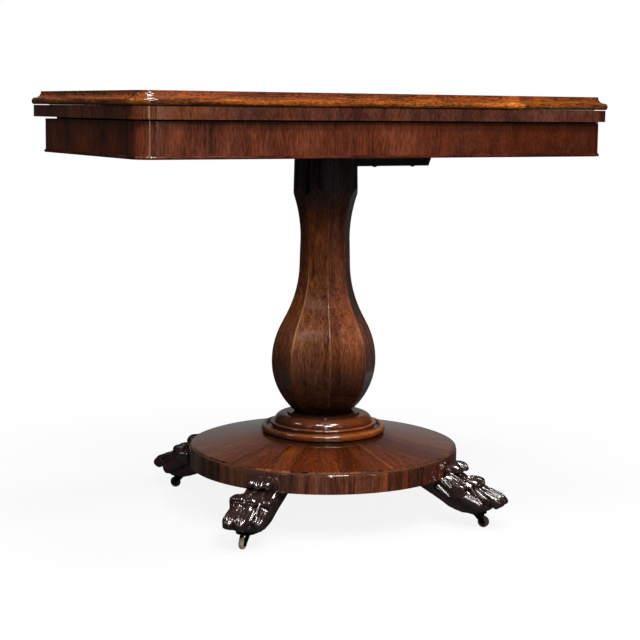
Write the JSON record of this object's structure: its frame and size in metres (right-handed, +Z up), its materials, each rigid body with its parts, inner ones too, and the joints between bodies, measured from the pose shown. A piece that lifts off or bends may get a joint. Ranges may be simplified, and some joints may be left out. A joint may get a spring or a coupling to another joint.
{
  "type": "card table",
  "caption": "Free-standing card table: fold-over top that swivels over a veneered frame, octagonal baluster column, round platform, carved paw feet on castors.",
  "frame": {"origin": "on the floor under the column, at the middle of the bounding box", "axes": "+X along the length of the top, +Y towards the hinged back edge, +Z up"},
  "size_m": [0.9212, 0.5806, 0.74],
  "materials": {
    "carcass_wood": "plain secondary timber, oiled",
    "veneer_light": "french polish",
    "veneer_dark": "french polish",
    "crossband": "french polish",
    "rim_veneer": "french polish",
    "collar_wood": "french polish",
    "column_wood": "french polish",
    "wedge_wood": "raw",
    "bearer_wood": "polished",
    "steel": "aged",
    "back_wood": "stained",
    "frieze_veneer": "french polish",
    "bead_wood": "french polish",
    "lining": "wool baize",
    "pad": "wool baize",
    "leaf_wood": "french polish",
    "baize": "wool baize",
    "iron": "blackened",
    "brass": "aged",
    "top_wood": "french polish",
    "moulding_wood": "french polish",
    "paw_wood": "ebonised polish",
    "castor_brass": "dull",
    "wheel_brass": "worn"
  },
  "bodies": {
    "stand": {"platform_core": "carcass_wood", "platform_veneer_light": "veneer_light", "platform_veneer_dark": "veneer_dark", "platform_border": "crossband", "platform_rim": "rim_veneer", "collar_ring": "collar_wood", "collar_boss": "collar_wood", "column": "column_wood", "column_wedge": "wedge_wood", "bearer": "bearer_wood", "stand_screws": "steel", "base_board": "carcass_wood", "frieze_front": "carcass_wood", "frieze_back": "back_wood", "frieze_left": "carcass_wood", "frieze_right": "carcass_wood", "corner_blocks": "carcass_wood", "frieze_veneer": "frieze_veneer", "bead_moulding": "bead_wood", "well_partition": "carcass_wood", "well_floor": "carcass_wood", "well_lining": "lining", "pivot_board": "carcass_wood", "paw_1": "paw_wood", "paw_2": "paw_wood", "paw_3": "paw_wood", "paw_4": "paw_wood", "castor_plate_1": "castor_brass", "castor_plate_2": "castor_brass", "castor_plate_3": "castor_brass", "castor_plate_4": "castor_brass", "castor_screws": "steel"},
    "lower_top": {"lower_leaf": "leaf_wood", "lower_baize": "baize", "pivot_plate": "iron", "pivot_bolt": "iron", "pivot_nut": "iron", "plate_screws": "steel", "stop_peg": "wedge_wood", "slide_pads": "pad", "hinges_lower": "brass", "hinge_pins": "brass", "hinge_screws_lower": "brass"},
    "upper_top": {"upper_leaf": "top_wood", "moulding_front": "moulding_wood", "moulding_left": "moulding_wood", "moulding_right": "moulding_wood", "upper_baize": "baize", "hinges_upper": "brass", "hinge_screws_upper": "brass"},
    "castor_1": {"castor_fork_1": "castor_brass"},
    "wheel_1": {"castor_wheel_1": "wheel_brass"},
    "castor_2": {"castor_fork_2": "castor_brass"},
    "wheel_2": {"castor_wheel_2": "wheel_brass"},
    "castor_3": {"castor_fork_3": "castor_brass"},
    "wheel_3": {"castor_wheel_3": "wheel_brass"},
    "castor_4": {"castor_fork_4": "castor_brass"},
    "wheel_4": {"castor_wheel_4": "wheel_brass"}
  },
  "joints": [
    {"name": "top_swivel", "type": "hinge", "parent": "stand", "child": "lower_top", "pos_m": [0.11922, 0.10927, 0.6963], "axis": [0, 0, 1], "range_deg": [0, 90]},
    {"name": "top_fold", "type": "hinge", "parent": "lower_top", "child": "upper_top", "pos_m": [0, 0.2285, 0.7169], "axis": [-1, 0, 0], "range_deg": [0, 180]},
    {"name": "castor_turn_1", "type": "hinge", "parent": "stand", "child": "castor_1", "pos_m": [0.24016, 0.17131, 0.024], "axis": [0, 0, 1], "continuous": true},
    {"name": "wheel_roll_1", "type": "hinge", "parent": "castor_1", "child": "wheel_1", "pos_m": [0.24993, 0.17828, 0.00975], "axis": [-0.5807, 0.8141, 0], "continuous": true},
    {"name": "castor_turn_2", "type": "hinge", "parent": "stand", "child": "castor_2", "pos_m": [-0.17131, 0.24016, 0.024], "axis": [0, 0, 1], "continuous": true},
    {"name": "wheel_roll_2", "type": "hinge", "parent": "castor_2", "child": "wheel_2", "pos_m": [-0.17828, 0.24993, 0.00975], "axis": [-0.8141, -0.5807, 0], "continuous": true},
    {"name": "castor_turn_3", "type": "hinge", "parent": "stand", "child": "castor_3", "pos_m": [-0.24016, -0.17131, 0.024], "axis": [0, 0, 1], "continuous": true},
    {"name": "wheel_roll_3", "type": "hinge", "parent": "castor_3", "child": "wheel_3", "pos_m": [-0.24993, -0.17828, 0.00975], "axis": [0.5807, -0.8141, 0], "continuous": true},
    {"name": "castor_turn_4", "type": "hinge", "parent": "stand", "child": "castor_4", "pos_m": [0.17131, -0.24016, 0.024], "axis": [0, 0, 1], "continuous": true},
    {"name": "wheel_roll_4", "type": "hinge", "parent": "castor_4", "child": "wheel_4", "pos_m": [0.17828, -0.24993, 0.00975], "axis": [0.8141, 0.5807, 0], "continuous": true}
  ]
}
